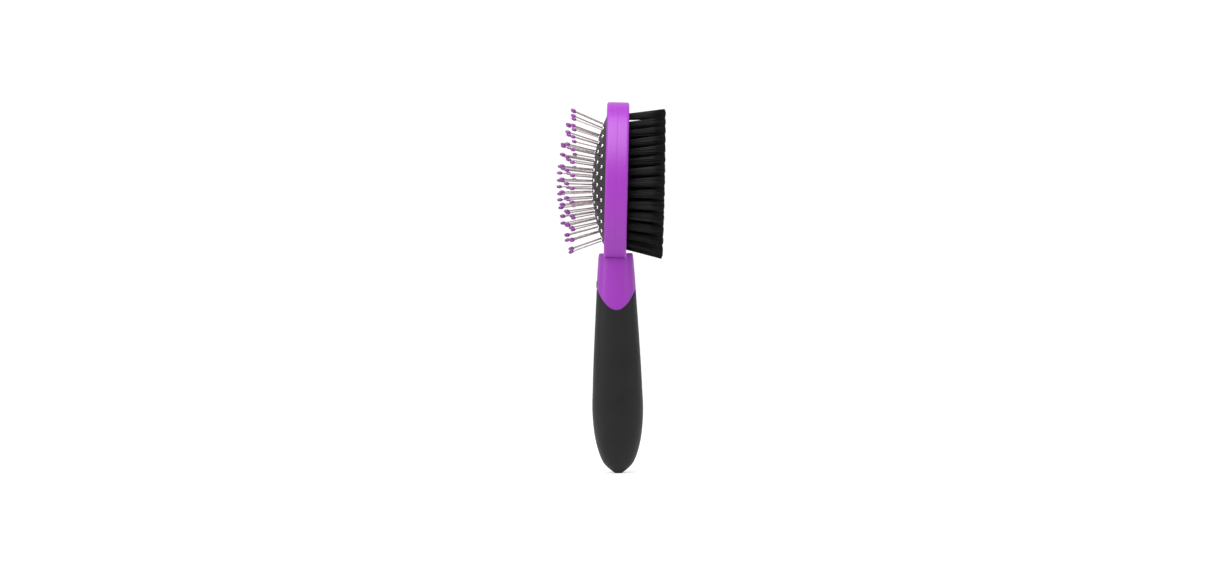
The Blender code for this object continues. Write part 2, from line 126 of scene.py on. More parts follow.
# Each ring: half width, half height, how round its top is (2 is an ellipse, less is more pointed),
# rise of its centre, count, then its body, name endings and cuts between its nodes, as shares of
# the way round. The last ring is a zigzag line.
PIN_RINGS = (
    (21.2, 36.4, 2.0, -0.9, 27, "pins_outer", ("_left", "_top", "_right"), (0.34, 0.67)),
    (16.0, 29.6, 2.0, -1.5, 21, "pins_second", ("_left", "_right"), (0.495,)),
    (9.8, 20.4, 2.0, -2.1, 15, "pins_third", ("_left", "_right"), (0.495,)),
    (2.8, 10.4, 2.0, -4.0, 7, "pins_inner", ("",), ()),
)
PIN_SPLAY = 1.085
PIN_TILT = 0.022
PIN_WOBBLE = 0.010
PIN_LENGTH = 22.3
PIN_RADIUS = 0.39
TIP_LENGTH = 3.4
TIP_RADIUS = 1.08
SEAT_PROFILE = (
    (0.02, 0.42), (0.02, 1.00), (0.14, 1.10), (0.34, 1.10),
    (0.50, 0.98), (0.60, 0.70), (0.62, 0.42),
)
RUBBER_THICK = 1.2
BOSS_RADIUS = 0.95
BOSS_WIDE = 0.34
BOSS_HIGH = 0.32
SKIRT_RADIUS = 1.5
SKIRT_SHARE = 0.35

# Bristle tufts. A shape is (u, radius) up a tuft. A tuft leans by v / FAN_ACROSS across the head,
# and by a tilt, a slope and a bend in w up it.
PLATE_FACE = span("bristle_plate", PRESS_AXIS)[1] - CENTRE_U
TUFT_END = span("tuft_ring_4", PRESS_AXIS)[1] - CENTRE_U
TUFT_RINGS = (
    (20.2, 40.2, 1.15, -0.2, 28, "brush", ("_left", "_top", "_right"), (0.34, 0.67)),
    (13.4, 31.4, 1.2, -1.2, 22, "brush", ("_left", "_right"), (0.495,)),
    (6.9, 21.4, 1.4, -1.6, 14, "brush", ("_left", "_right"), (0.495,)),
    (0.0, 10.2, 2.0, -3.0, 4, "brush", ("",), ()),
)
TUFT_SHAPE = ((5.4, 2.05), (8.0, 2.15), (12.0, 2.35), (20.0, 2.75), (29.9, 3.25))
FAN_ACROSS = 105.0
FAN_UP = (0.055, 0.0035, -0.00006)
FILAMENTS = 160
FILAMENT_RADIUS = 0.15
FILAMENT_TAPER = (1.0, 1.0, 1.0, 0.95, 0.7)
STRAY = 0.15
TRIM_PROUD = 0.6
TRIM_CROWN = 1.0
SOCKET_DIP = 0.8

# Handle.
GRIP_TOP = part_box("grip_sleeve")[1].z / MM
COLLAR_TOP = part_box("handle_core")[1].z / MM
HANDLE_SIDES = 144
BUTT_ROWS = (0.0, 0.12, 0.35, 0.7, 1.15, 1.7, 2.4, 3.2, 4.2, 5.4, 6.8, 8.4, 10.2, 12.2, 14.4)
ROD_ROWS = (5.3, 10.0, 20.0, 40.0, 78.2)
GRIP_THICK = 2.2
GRIP_ROUND = 0.35
ROD_GAP = 0.3
COLLAR_ROUND = 0.7
EDGE_GAP = 0.12
BADGE_SIDES = 64
# Each step from the badge's foot to its middle: distance in from its edge, height over the collar.
BADGE_STEPS = (
    (0.0, -0.3), (0.0, 0.12), (0.06, 0.24), (0.18, 0.32), (0.36, 0.37),
    (0.62, 0.36), (0.72, 0.30), (0.86, 0.30), (1.3, 0.31),
)


# ---- mesh building ---------------------------------------------------------------------------


class Shell:
    """Collects rings of points into one mesh."""

    def __init__(self):
        self.points = []
        self.faces = []

    def skin(self, rings, start="flat", end="flat", closed=False):
        """Quads between equal rings. Each end is a flat cap, or a fan to the point given."""
        sides = len(rings[0])
        base = len(self.points)
        for ring in rings:
            self.points.extend(ring)
        rows = [base + k * sides for k in range(len(rings))]
        pairs = list(zip(rows, rows[1:]))
        if closed:
            pairs.append((rows[-1], rows[0]))
        for low, high in pairs:
            for i in range(sides):
                j = (i + 1) % sides
                self.faces.append((low + i, low + j, high + j, high + i))
        if not closed:
            self.cap(rows[0], sides, start, True)
            self.cap(rows[-1], sides, end, False)

    def cap(self, row, sides, kind, first):
        loop = [row + i for i in range(sides)]
        if first:
            loop.reverse()
        if isinstance(kind, str):
            self.faces.append(tuple(loop))
            return
        hub = len(self.points)
        self.points.append(kind)
        for i in range(sides):
            self.faces.append((loop[i], loop[(i + 1) % sides], hub))

    def make(self, name, matrix, sharp=40.0):
        mesh = bpy.data.meshes.new(name)
        mesh.from_pydata([tuple(point) for point in self.points], [], self.faces)
        mesh.transform(matrix)
        if signed_volume(mesh) < 0.0:
            mesh.flip_normals()
        mesh.shade_smooth()
        mesh.set_sharp_from_angle(angle=math.radians(sharp))
        made = bpy.data.objects.new(name, mesh)
        bpy.context.scene.collection.objects.link(made)
        return made


def signed_volume(mesh):
    mesh.calc_loop_triangles()
    count = len(mesh.loop_triangles)
    corner = np.zeros(count * 3, np.int32)
    mesh.loop_triangles.foreach_get("vertices", corner)
    flat = np.zeros(len(mesh.vertices) * 3, np.float32)
    mesh.vertices.foreach_get("co", flat)
    tri = flat.reshape(-1, 3)[corner.reshape(-1, 3)].astype(float)
    return float(np.einsum("ij,ij->i", tri[:, 0], np.cross(tri[:, 1], tri[:, 2])).sum()) / 6.0


def turn(index, sides):
    return math.tau * index / sides


def arc(start, end, steps):
    """Quarter round from start to end as (along, inset) pairs; leaves start straight on."""
    spots = []
    for k in range(steps + 1):
        angle = math.pi / 2.0 * k / steps
        a = start[0] + (end[0] - start[0]) * math.sin(angle)
        b = start[1] + (end[1] - start[1]) * (1.0 - math.cos(angle))
        spots.append((a, b))
    return spots


def finish_piece(piece, material, body, slot, *nodes):
    piece.data.materials.append(material)
    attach(piece, body)
    if nodes:
        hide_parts(*nodes)
    return piece


# ---- shader helpers --------------------------------------------------------------------------


class Look:
    """A Principled material and short calls for the nodes that feed it."""

    def __init__(self, name, **sockets):
        self.material = bpy.data.materials.new(name)
        self.material.use_nodes = True
        self.tree = self.material.node_tree
        self.shader = self.tree.nodes["Principled BSDF"]
        for key, value in sockets.items():
            self.shader.inputs[key.replace("_", " ")].default_value = value
        self.place = self.tree.nodes.new("ShaderNodeTexCoord").outputs["Object"]

    def node(self, kind, **inputs):
        made = self.tree.nodes.new(kind)
        for key, value in inputs.items():
            socket = made.inputs[key.replace("_", " ")]
            if isinstance(value, bpy.types.NodeSocket):
                self.tree.links.new(value, socket)
            else:
                socket.default_value = value
        return made

    def stretched(self, scale):
        made = self.node("ShaderNodeMapping", Vector=self.place)
        made.inputs["Scale"].default_value = scale
        return made.outputs["Vector"]

    def noise(self, scale, detail=3.0, rough=0.55, vector=None):
        made = self.node("ShaderNodeTexNoise", Scale=scale, Detail=detail, Roughness=rough)
        self.tree.links.new(vector or self.place, made.inputs["Vector"])
        return made.outputs["Fac"]

    def band(self, value, low, high, out_low=0.0, out_high=1.0):
        made = self.node("ShaderNodeMapRange", Value=value)
        made.inputs["From Min"].default_value = low
        made.inputs["From Max"].default_value = high
        made.inputs["To Min"].default_value = out_low
        made.inputs["To Max"].default_value = out_high
        return made.outputs["Result"]

    def math(self, operation, a, b=0.0):
        made = self.tree.nodes.new("ShaderNodeMath")
        made.operation = operation
        for socket, value in zip(made.inputs, (a, b)):
            if isinstance(value, bpy.types.NodeSocket):
                self.tree.links.new(value, socket)
            else:
                socket.default_value = value
        return made.outputs[0]

    def mix(self, factor, a, b):
        made = self.tree.nodes.new("ShaderNodeMix")
        made.data_type = "RGBA"
        for index, value in ((0, factor), (6, a), (7, b)):
            socket = made.inputs[index]
            if isinstance(value, bpy.types.NodeSocket):
                self.tree.links.new(value, socket)
            elif index == 0:
                socket.default_value = value
            else:
                socket.default_value = (*value, 1.0)
        return made.outputs[2]

    def feed(self, name, value):
        self.tree.links.new(value, self.shader.inputs[name])

    def colour(self, value, low, high, dark, light):
        """Base colour from dark to light as the value goes from low to high."""
        self.feed("Base Color", self.mix(self.band(value, low, high), dark, light))

    def roughness(self, value, low, high, smooth, rough):
        self.feed("Roughness", self.band(value, low, high, smooth, rough))

    def bump(self, height, distance, strength=1.0, under=None):
        made = self.node("ShaderNodeBump", Height=height, Strength=strength, Distance=distance)
        if under is not None:
            self.tree.links.new(under, made.inputs["Normal"])
        self.tree.links.new(made.outputs["Normal"], self.shader.inputs["Normal"])
        return made.outputs["Normal"]


# ---- materials -------------------------------------------------------------------------------

PURPLE = (0.232, 0.0165, 0.324)
PURPLE_DEEP = (0.208, 0.0145, 0.294)


def plastic_look(name, seam=False):
    """Satin moulded plastic: soft flow marks, fine orange peel and light scuffs."""
    look = Look(name, Roughness=0.42, IOR=1.49, Specular_IOR_Level=0.42)
    flow = look.noise(38.0, 4.0, 0.6, look.stretched((1.0, 1.0, 0.35)))
    look.colour(flow, 0.3, 0.7, PURPLE_DEEP, PURPLE)
    scuffs = look.noise(900.0, 5.0, 0.7, look.stretched((1.0, 0.25, 1.0)))
    look.roughness(scuffs, 0.35, 0.75, 0.38, 0.46)
    peel = look.noise(1500.0, 2.0, 0.5)
    fine = look.bump(peel, 0.00003, 0.35)
    if seam:
        across = look.node("ShaderNodeSeparateXYZ", Vector=look.place).outputs["X"]
        ridge = look.band(look.math("ABSOLUTE", across), 0.00005, 0.00022, 1.0, 0.0)
        look.bump(ridge, 0.00006, 0.8, fine)
    return look.material


def grip_look():
    """Soft-touch rubber overmould: very fine tooth, faint dust and handling sheen."""
    look = Look("grip_rubber", Roughness=0.5, IOR=1.5, Specular_IOR_Level=0.2)
    cloud = look.noise(60.0, 5.0, 0.65)
    look.colour(cloud, 0.35, 0.7, (0.0050, 0.0050, 0.0052), (0.0085, 0.0085, 0.0088))
    look.roughness(look.noise(240.0, 4.0, 0.7), 0.3, 0.7, 0.44, 0.56)
    look.bump(look.noise(5200.0, 2.0, 0.5), 0.00004, 0.5)
    return look.material


def membrane_look():
    """Dull moulded rubber with a slight bloom, tinted purple as a painted reflection of the frame.
    """
    look = Look("cushion_rubber", Roughness=0.6, IOR=1.5, Specular_IOR_Level=0.3,
                Sheen_Weight=0.02, Sheen_Roughness=0.45)
    bloom = look.noise(170.0, 5.0, 0.7)
    # Dark grey is the rubber's own colour; the purple tint in both colours is a painted reflection
    # of the frame.
    look.colour(bloom, 0.35, 0.7, (0.0085, 0.0065, 0.0085), (0.0150, 0.0115, 0.0155))
    look.roughness(look.noise(600.0, 4.0, 0.7), 0.3, 0.7, 0.48, 0.66)
    look.bump(look.noise(3000.0, 3.0, 0.6), 0.00005, 0.5)
    return look.material


def shaded_steel_look():
    """Drawn and polished wire with fine lengthwise marks; painted shade darkens it, a painted
    purple reflection warms it.
    """
    look = Look("pin_steel", Metallic=1.0, Roughness=0.24)
    drawn = look.noise(2600.0, 3.0, 0.6, look.stretched((0.06, 1.0, 1.0)))
    # Both colours sit well below bare steel as painted shade for the rubber's dark reflection, with
    # a warm tint as a painted reflection of the purple frame.
    look.colour(drawn, 0.3, 0.7, (0.20, 0.165, 0.165), (0.36, 0.31, 0.31))
    look.roughness(drawn, 0.3, 0.7, 0.18, 0.32)
    look.bump(drawn, 0.00001, 0.4)
    return look.material


def glint_seat_look():
    """Rims of the pin seats, lightly brushed; their steel is brightened far past the wires' as a
    painted glint.
    """
    look = Look("pin_seat_steel_painted_glint", Metallic=1.0, Roughness=0.2)
    brushed = look.noise(1800.0, 3.0, 0.6)
    # Near-white steel, far brighter than the wires' steel: a painted glint at each pin root.
    look.colour(brushed, 0.3, 0.7, (0.80, 0.79, 0.78), (0.93, 0.92, 0.92))
    look.roughness(brushed, 0.3, 0.7, 0.16, 0.28)
    look.bump(brushed, 0.00001, 0.4)
    return look.material


def tip_look():
    """Dipped ball tips: glossy, slightly uneven."""
    look = Look("pin_tip_plastic", Roughness=0.25, IOR=1.49, Coat_Weight=0.25, Coat_Roughness=0.12)
    dip = look.noise(420.0, 3.0, 0.6)
    look.colour(dip, 0.35, 0.65, (0.125, 0.014, 0.150), (0.205, 0.026, 0.240))
    look.roughness(look.noise(1300.0, 2.0), 0.3, 0.7, 0.18, 0.32)
    look.bump(look.noise(900.0, 2.0), 0.00008, 0.5)
    return look.material


def nylon_look():
    """Black filaments, each a little different from its neighbours."""
    look = Look("bristle_nylon", Roughness=0.38, IOR=1.53, Specular_IOR_Level=0.22)
    strand = look.noise(2100.0, 2.0, 0.5, look.stretched((0.08, 1.0, 1.0)))
    look.colour(strand, 0.3, 0.7, (0.0010, 0.0010, 0.0010), (0.0045, 0.0043, 0.0045))
    look.roughness(strand, 0.3, 0.7, 0.30, 0.5)
    return look.material


def badge_look():
    """Grey plastic with a fine speckle."""
    look = Look("badge_plastic", Roughness=0.4, IOR=1.49)
    speck = look.noise(800.0, 4.0, 0.6)
    look.colour(speck, 0.3, 0.7, (0.045, 0.043, 0.050), (0.075, 0.070, 0.082))
    look.roughness(speck, 0.3, 0.7, 0.32, 0.48)
    look.bump(look.noise(2600.0, 2.0), 0.00003, 0.5)
    return look.material


def hidden_look():
    """Plain grained plastic of the plate behind the cushion."""
    look = Look("base_plastic", Roughness=0.5)
    grain = look.noise(500.0, 4.0)
    look.feed("Base Color", look.mix(grain, (0.05, 0.05, 0.055), (0.08, 0.08, 0.085)))
    look.bump(grain, 0.00005, 0.4)
    return look.material


# ---- handle ----------------------------------------------------------------------------------


def outer_line(along, across):
    """(height, distance out) of the handle's outside on one of its two symmetry planes."""
    spots = []
    for node in ("grip_sleeve", "handle_core"):
        item = frame["nodes"][node]
        for point in points_of(node):
            if abs(point[across]) > 0.01 or point[along] < 1.0:
                continue
            start = Vector((0.0, 0.0, point[2] * MM))
            start[along] = 0.1
            start[across] = 0.000002
            way = Vector((0.0, 0.0, 0.0))
            way[along] = -1.0
            hit, where, _, _ = item.ray_cast(start, way)
            if hit and abs(where[along] / MM - point[along]) < 0.12:
                spots.append((round(float(point[2]), 3), round(float(point[along]), 3)))
    return without_dips(sorted(set(spots)))


def without_dips(spots):
    """Leaves out the rounded edges beside the joint between rubber and plastic."""
    for _ in range(3):
        kept = [spots[0]]
        for before, here, after in zip(spots, spots[1:], spots[2:]):
            share = (here[0] - before[0]) / max(after[0] - before[0], 1e-6)
            straight = before[1] + (after[1] - before[1]) * share
            if here[1] > straight - 0.14:
                kept.append(here)
        kept.append(spots[-1])
        spots = kept
    return spots


def smooth_line(spots):
    """Smooth function through (height, distance) spots."""
    heights = np.array([spot[0] for spot in spots])
    values = np.array([spot[1] for spot in spots])
    slopes = np.gradient(values, heights)

    def at(z):
        if z > heights[-1]:
            return float(values[-1] + (z - heights[-1]) * slopes[-1])
        z = max(z, heights[0])
        k = int(min(np.searchsorted(heights, z, "right") - 1, len(heights) - 2))
        gap = heights[k + 1] - heights[k]
        t = (z - heights[k]) / gap
        rise = t * t * (3.0 - 2.0 * t)
        bend = t * (1.0 - t) * gap * ((1.0 - t) * slopes[k] - t * slopes[k + 1])
        return float(values[k] + (values[k + 1] - values[k]) * rise + bend)

    return at


HALF_X = smooth_line(outer_line(0, 1))
HALF_Y = smooth_line(outer_line(1, 0))


def grip_low():
    """Height of the rubber's edge on the two sides, where it is lowest."""
    points = points_of("grip_sleeve")
    return points[np.abs(points[:, 0]) < 0.01][:, 2].max()


GRIP_LOW = grip_low()


def grip_edge(angle):
    """Height of the rubber's edge round the handle: an arch on the pin and bristle faces."""
    return GRIP_LOW + (GRIP_TOP - GRIP_LOW) * math.cos(angle) ** 2


def handle_ring(height_at, inset):
    ring = []
    for i in range(HANDLE_SIDES):
        angle = turn(i, HANDLE_SIDES)
        z = height_at(angle)
        x = (HALF_X(z) - inset) * math.cos(angle)
        y = (HALF_Y(z) - inset) * math.sin(angle)
        ring.append((x, y, z))
    return ring


def level(z):
    return lambda angle: z


def toward_edge(start, part, lift=0.0):
    return lambda angle: start + (grip_edge(angle) - start) * part + lift


def make_grip(look):
    """Rubber sleeve: closed round the butt, its upper edge rolled over to meet the plastic."""
    shell = Shell()
    low = [*BUTT_ROWS, *(17.0 + 2.6 * k for k in range(24))]
    rings = [handle_ring(level(z), 0.0) for z in low]
    start = low[-1]
    rings += [handle_ring(toward_edge(start, k / 12.0), 0.0) for k in range(1, 12)]
    for along, inset in arc((-GRIP_ROUND, 0.0), (0.0, GRIP_ROUND), 4):
        rings.append(handle_ring(toward_edge(start, 1.0, along), inset))
    rings += [handle_ring(toward_edge(start, 1.0), GRIP_THICK)]
    rings += [handle_ring(level(z), GRIP_THICK) for z in (start, 40.0, 20.0, 10.0, 5.0)]
    shell.skin(rings)
    piece = shell.make("grip_sleeve_rubber", ROW)
    return finish_piece(piece, look, "brush", "grip_rubber", "grip_sleeve")


def make_collar(look):
    """Plastic core: the part that shows above the rubber, notched to straddle the frame."""
    shell = Shell()
    rod = GRIP_THICK + ROD_GAP
    start = ROD_ROWS[-1]
    rings = [handle_ring(level(z), rod) for z in ROD_ROWS]
    rings.append(handle_ring(toward_edge(start, 1.0, EDGE_GAP), rod))
    for along, inset in reversed(arc((GRIP_ROUND, 0.0), (0.0, GRIP_ROUND), 4)):
        rings.append(handle_ring(toward_edge(start, 1.0, EDGE_GAP + along), inset))
    top = COLLAR_TOP - COLLAR_ROUND
    for k in range(1, 15):
        part = k / 15.0
        rings.append(handle_ring(
            lambda angle: (grip_edge(angle) + 0.5) * (1.0 - part) + (top - 0.3) * part, 0.0))
    for along, inset in arc((0.0, 0.0), (COLLAR_ROUND, COLLAR_ROUND), 5):
        rings.append(handle_ring(level(top + along), inset))
    shell.skin(rings)
    piece = shell.make("handle_collar", ROW)
    cut(piece, notch_shape(), HEAD)
    return finish_piece(piece, look, "brush", "handle_plastic", "handle_core")


def notch_shape():
    """Slot for the frame's foot, its mouth slightly opened."""
    shell = Shell()
    half = HALF_THICK + NOTCH_GAP
    open_half = half + NOTCH_MOUTH
    floor = FRAME_FOOT - 0.15
    mouth = COLLAR_TOP - CENTRE_W
    right = [(half, floor), (half, mouth - 0.2), (open_half, mouth + 0.1), (open_half, mouth + 9.0)]
    profile = right + [(-u, w) for u, w in reversed(right)]
    shell.skin([[(u, v, w) for u, w in profile] for v in (-20.0, 20.0)])
    return shell


def cut(piece, shell, matrix):
    tool = shell.make("cutting_tool", matrix)
    step = piece.modifiers.new("cut", "BOOLEAN")
    step.operation = "DIFFERENCE"
    step.solver = "EXACT"
    step.object = tool
    bpy.context.view_layer.update()
    solved = piece.evaluated_get(bpy.context.evaluated_depsgraph_get())
    done = bpy.data.meshes.new_from_object(solved)
    piece.modifiers.clear()
    piece.data = done
    done.shade_smooth()
    done.set_sharp_from_angle(angle=math.radians(35.0))
    bpy.data.objects.remove(tool)


def make_badge(look):
    """Blank oval pad let into the collar's pin side."""
    low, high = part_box("collar_badge")
    wide = (high.y - low.y) / 2.0 / MM
    tall = (high.z - low.z) / 2.0 / MM
    middle = (high.z + low.z) / 2.0 / MM

    def spot(y, z, lift):
        side = math.sqrt(1.0 - (y / HALF_Y(z)) ** 2)
        return (-HALF_X(z) * side - lift, y, z)

    def ring(shrink, lift):
        made = []
        for i in range(BADGE_SIDES):
            angle = turn(i, BADGE_SIDES)
            y = (wide - shrink) * math.cos(angle)
            made.append(spot(y, middle + (tall - shrink) * math.sin(angle), lift))
        return made

    shell = Shell()
    rings = [ring(shrink, lift) for shrink, lift in BADGE_STEPS]
    shell.skin(rings, spot(0.0, middle, -0.3), spot(0.0, middle, 0.33))
    piece = shell.make("collar_badge_blank", ROW)
    return finish_piece(piece, look, "brush", "badge_plastic", "collar_badge")


# ---- head frame ------------------------------------------------------------------------------

FRAME_SIDES = 192


def frame_ring(u, inset):
    ring = []
    for i in range(FRAME_SIDES):
        angle = turn(i, FRAME_SIDES)
        rise = FRAME_UP if math.cos(angle) > 0.0 else FRAME_DOWN
        w = max((rise - inset) * math.cos(angle), FRAME_FOOT)
        ring.append((u, (FRAME_WIDE - inset) * math.sin(angle), w))
    return ring


def ellipse(u, wide, tall, sides):
    angles = [turn(i, sides) for i in range(sides)]
    return [(u, wide * math.sin(angle), tall * math.cos(angle)) for angle in angles]


def oval(opening, u, grow, sides):
    return ellipse(u, opening[0] + grow, opening[1] + grow, sides)


def make_frame_half(name, side, look, node):
    """Half of the ring on one side of the parting line: outside, lip, ledge and flange."""
    shell = Shell()
    face = HALF_THICK
    ledge = face - LIP_DEPTH
    opening = PIN_OPENING if side < 0.0 else BRISTLE_OPENING
    flange = PIN_FLANGE if side < 0.0 else BRISTLE_FLANGE
    rings = []
    for along, inset in reversed(arc((SEAM + SEAM_ROUND, 0.0), (SEAM, SEAM_ROUND), 3)):
        rings.append(frame_ring(side * along, inset))
    rings += [frame_ring(side * u, 0.0) for u in (1.2, 2.6)]
    for along, inset in arc((face - FRAME_EDGE, 0.0), (face, FRAME_EDGE), 9):
        rings.append(frame_ring(side * along, inset))
    for along, inset in reversed(arc((face - LIP_ROUND, 0.0), (face, LIP_ROUND), 5)):
        rings.append(oval(opening, side * along, LIP_GAP + inset, FRAME_SIDES))
    rings.append(oval(opening, side * ledge, LIP_GAP, FRAME_SIDES))
    rings.append(oval(opening, side * ledge, flange + LIP_GAP, FRAME_SIDES))
    rings.append(oval(opening, side * SEAM, flange + LIP_GAP, FRAME_SIDES))
    shell.skin(rings, closed=True)
    piece = shell.make(name, HEAD, sharp=50.0)
    return finish_piece(piece, look, "brush", "frame_plastic", node)


# ---- ring layout -----------------------------------------------------------------------------


def ring_walk(wide, tall, point, fraction, steps=720):
    """Point a fraction of the way round a ring by length, from its foot towards -v."""
    angles = np.linspace(0.0, math.tau, steps + 1)
    across, up = -np.sin(angles), -np.cos(angles)
    drawn_in = np.sign(across) * np.clip(1.0 - np.abs(up) ** point, 0.0, 1.0) ** (1.0 / point)
    spots = np.stack((wide * np.where(up > 0.0, drawn_in, across), tall * up), 1)
    lengths = np.concatenate(([0.0], np.cumsum(np.linalg.norm(np.diff(spots, axis=0), axis=1))))
    target = fraction % 1.0 * lengths[-1]
    return tuple(float(np.interp(target, lengths, spots[:, k])) for k in (0, 1))


def ring_spot(ring, mark):
    """(v, w) of one pin or tuft. A ring under 3 mm wide is the zigzag line."""
    wide, tall, point, rise, count = ring[:5]
    if wide < 3.0:
        side = wide if mark % 2 == 0 else -wide
        return side, rise - tall + 2.0 * tall * mark / (count - 1)
    v, w = ring_walk(wide, tall, point, mark / count)
    return v, w + rise


def arcs(rings):
    """Each node's number and name ending, its body and its (v, w) spots."""
    for number, ring in enumerate(rings, start=1):
        count, body, endings, cuts = ring[4:]
        edges = (0.0, *cuts, 1.0)
        for ending, low, high in zip(endings, edges, edges[1:]):
            spots = [ring_spot(ring, k) for k in range(count) if low <= k / count < high]
            yield f"ring_{number}{ending}", body, spots


def all_spots(rings):
    return np.array([spot for _, _, spots in arcs(rings) for spot in spots])


def gap_to_nearest(ring, spots):
    """Distance across the face from each point of a ring to the nearest pin or tuft."""
    v, w = ring[:, 1], ring[:, 2]
    return np.hypot(v[:, None] - spots[None, :, 0], w[:, None] - spots[None, :, 1]).min(1)


# ---- cushion and pins ------------------------------------------------------------------------


def dome_u(share):
    return -HALF_THICK - DOME_HIGH * (1.0 - share * share)


def bosses(ring, spots):
    """Height of the raised rims round the pins at each point of a ring on the dome."""
    gap = gap_to_nearest(ring, spots)
    rim = np.exp(-(((gap - BOSS_RADIUS) / BOSS_WIDE) ** 2))
    skirt = np.exp(-((gap / SKIRT_RADIUS) ** 4)) * SKIRT_SHARE
    return BOSS_HIGH * np.maximum(rim, skirt)


def make_membrane(look):
    """Domed rubber: its hollow back, its edge behind the lip, then its front with the bosses."""
    sides, steps = 480, 120
    shell = Shell()
    spots = all_spots(PIN_RINGS)
    wall = RUBBER_THICK
    face = -HALF_THICK
    rings = [dome_ring(share, sides, wall) for share in (0.1, 0.3, 0.5, 0.7, 0.85, 0.94)]
    rings += [oval(PIN_OPENING, face + 1.6, -wall, sides)]
    rings += [oval(PIN_OPENING, face + lift, 0.0, sides) for lift in (1.6, 0.6, 0.0)]
    for k in range(1, steps):
        share = 1.0 - k / steps
        plain = np.array(dome_ring(share, sides, 0.0))
        plain[:, 0] -= bosses(plain, spots)
        rings.append([tuple(point) for point in plain])
    shell.skin(rings, (dome_u(0.0) + wall, 0.0, 0.0), (dome_u(0.0), 0.0, 0.0))
    piece = shell.make("cushion_membrane_rubber", HEAD, sharp=60.0)
    finish_piece(piece, look, "brush", "cushion_rubber", "cushion_membrane")
    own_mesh(piece)


def dome_ring(share, sides, lift):
    return ellipse(dome_u(share) + lift, PIN_OPENING[0] * share, PIN_OPENING[1] * share, sides)


def pin_axis(spot):
    """A pin's root on the dome and its direction, nearly square to the rubber."""
    v, w = spot
    share = math.hypot(v / PIN_OPENING[0], w / PIN_OPENING[1])
    lean_v = PIN_SPLAY * 2.0 * DOME_HIGH * v / PIN_OPENING[0] ** 2
    lean_w = PIN_SPLAY * 2.0 * DOME_HIGH * w / PIN_OPENING[1] ** 2 + PIN_TILT
    return Vector((dome_u(share), v, w)), Vector((-1.0, lean_v, lean_w)).normalized()


def turned(origin, way, profile, sides):
    """Rings of a turned shape: profile is (distance along, radius)."""
    basis = way.to_track_quat("X", "Y")
    rings = []
    for along, radius in profile:
        ring = []
        for i in range(sides):
            angle = turn(i, sides)
            offset = Vector((along, radius * math.cos(angle), radius * math.sin(angle)))
            ring.append(origin + basis @ offset)
        rings.append(ring)
    return rings


def tip_profile():
    """Ball tip: a long bead, fullest just past its middle."""
    start = PIN_LENGTH - TIP_LENGTH
    made = [(start, PIN_RADIUS * 1.05)]
    for k in range(1, 12):
        t = k / 12.0
        fat = math.sin(math.pi * t ** 0.86) ** 0.62
        made.append((start + TIP_LENGTH * t, PIN_RADIUS + (TIP_RADIUS - PIN_RADIUS) * fat))
    made.append((PIN_LENGTH - 0.09, PIN_RADIUS * 0.9))
    return made


def make_pins(steel, glint_steel, plastic):
    """Each ring's wires, seats and ball tips, one piece of each a node; the seats' bright steel is
    a painted glint.
    """
    wobble = random.Random(SEED)
    stem = [(-1.6, PIN_RADIUS), (0.02, PIN_RADIUS), (PIN_LENGTH - TIP_LENGTH + 0.5, PIN_RADIUS)]
    for name, body, spots in arcs(PIN_RINGS):
        wires, seats, tips = Shell(), Shell(), Shell()
        for spot in spots:
            root, way = pin_axis(spot)
            sway = Vector((0.0, wobble.gauss(0.0, PIN_WOBBLE), wobble.gauss(0.0, PIN_WOBBLE)))
            way = (way + sway).normalized()
            wires.skin(turned(root, way, stem, 12))
            seats.skin(turned(root, way, SEAT_PROFILE, 16))
            tips.skin(turned(root, way, tip_profile(), 16), end=root + way * PIN_LENGTH)
        finish_piece(wires.make(f"pin_wires_{name}", HEAD), steel, body, "pin_steel", f"pin_{name}")
        # The seats take the brightened steel, a painted glint.
        finish_piece(seats.make(f"pin_seats_{name}", HEAD), glint_steel, body, "pin_steel")
        finish_piece(tips.make(f"pin_tips_{name}", HEAD, 60.0), plastic, body, "pin_steel")


# ---- bristle side ----------------------------------------------------------------------------


def make_bristle_plate(look):
    """Oval board with a shallow socket round each tuft."""
    sides, steps = 360, 90
    shell = Shell()
    spots = all_spots(TUFT_RINGS)
    outline = ((2.2, BRISTLE_FLANGE), (4.3, BRISTLE_FLANGE), (4.3, 0.0),
               (PLATE_FACE - 0.5, 0.0), (PLATE_FACE - 0.15, -0.12))
    rings = [oval(BRISTLE_OPENING, u, grow, sides) for u, grow in outline]
    for k in range(1, steps):
        share = 0.99 * (1.0 - k / steps)
        wide, tall = BRISTLE_OPENING[0] * share, BRISTLE_OPENING[1] * share
        plain = np.array(ellipse(PLATE_FACE, wide, tall, sides))
        inside = TUFT_SHAPE[0][1] + 0.4 - gap_to_nearest(plain, spots)
        plain[:, 0] -= np.clip(inside / 0.5, 0.0, 1.0) * SOCKET_DIP
        rings.append([tuple(point) for point in plain])
    shell.skin(rings, end=(PLATE_FACE, 0.0, 0.0))
    piece = shell.make("bristle_plate_board", HEAD, sharp=40.0)
    finish_piece(piece, look, "brush", "bristle_board", "bristle_plate")


def filament_offsets(dice):
    """How far out and which way each filament of a tuft stands, like seeds in a flower head."""
    golden = math.pi * (3.0 - math.sqrt(5.0))
    for k in range(FILAMENTS):
        reach = math.sqrt((k + 0.5) / FILAMENTS)
        angle = golden * k + dice.uniform(-0.25, 0.25)
        yield reach, angle


